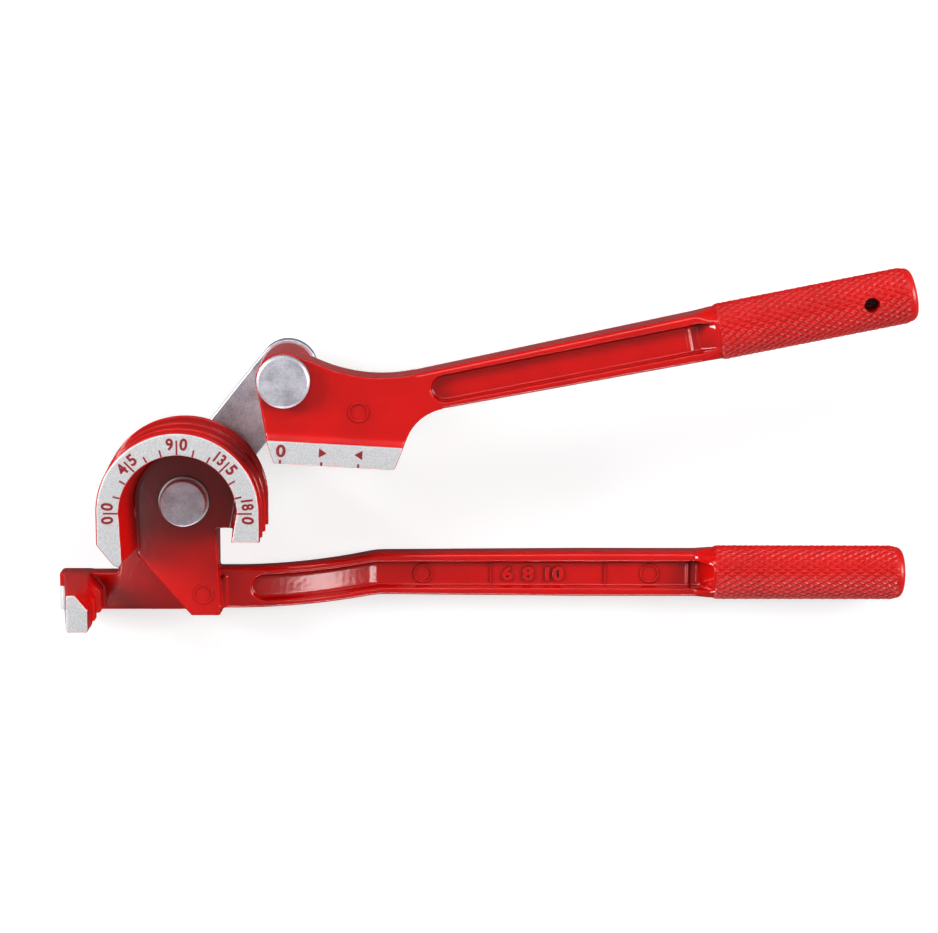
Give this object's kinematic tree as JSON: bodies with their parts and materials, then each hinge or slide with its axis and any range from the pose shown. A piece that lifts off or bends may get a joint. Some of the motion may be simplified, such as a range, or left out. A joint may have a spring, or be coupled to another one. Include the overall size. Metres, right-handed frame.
{
  "type": "tube bender",
  "caption": "Hand lever bender for thin pipes: half-round die with stepped grooves and fixed hook, linked forming shoe on a second lever.",
  "frame": {"origin": "on the main pin's axis, at the flat back end of that pin, on which the tool rests", "axes": "+X along the lower handle towards its grip; +Y from the lower handle towards the upper one; +Z out of the front faces"},
  "size_m": [0.2722, 0.1139, 0.043],
  "materials": {
    "red_paint": "gloss paint on die-cast aluminium, front faces machined bare",
    "zinc_plate": "zinc plated, mottled",
    "bright_steel": "bright zinc plated"
  },
  "bodies": {
    "lower_body": {"lower_casting": "red_paint", "main_pin": "zinc_plate", "main_pin_head_washer": "bright_steel", "main_pin_spacer_washer": "bright_steel", "main_pin_tail_washer": "bright_steel"},
    "link": {"link_plate": "zinc_plate"},
    "upper_handle": {"upper_casting": "red_paint", "shoe_pin": "zinc_plate", "shoe_pin_spacer_washer": "bright_steel", "shoe_pin_tail_washer": "bright_steel"}
  },
  "joints": [
    {"name": "link_swing", "type": "hinge", "parent": "lower_body", "child": "link", "pos_m": [0, 0, 0.0074], "axis": [0, 0, 1], "range_deg": [-51.5, 128.5]},
    {"name": "shoe_swing", "type": "hinge", "parent": "link", "child": "upper_handle", "pos_m": [0.03262, 0.04101, 0.0074], "axis": [0, 0, 1], "range_deg": [-35.4, 90]}
  ]
}
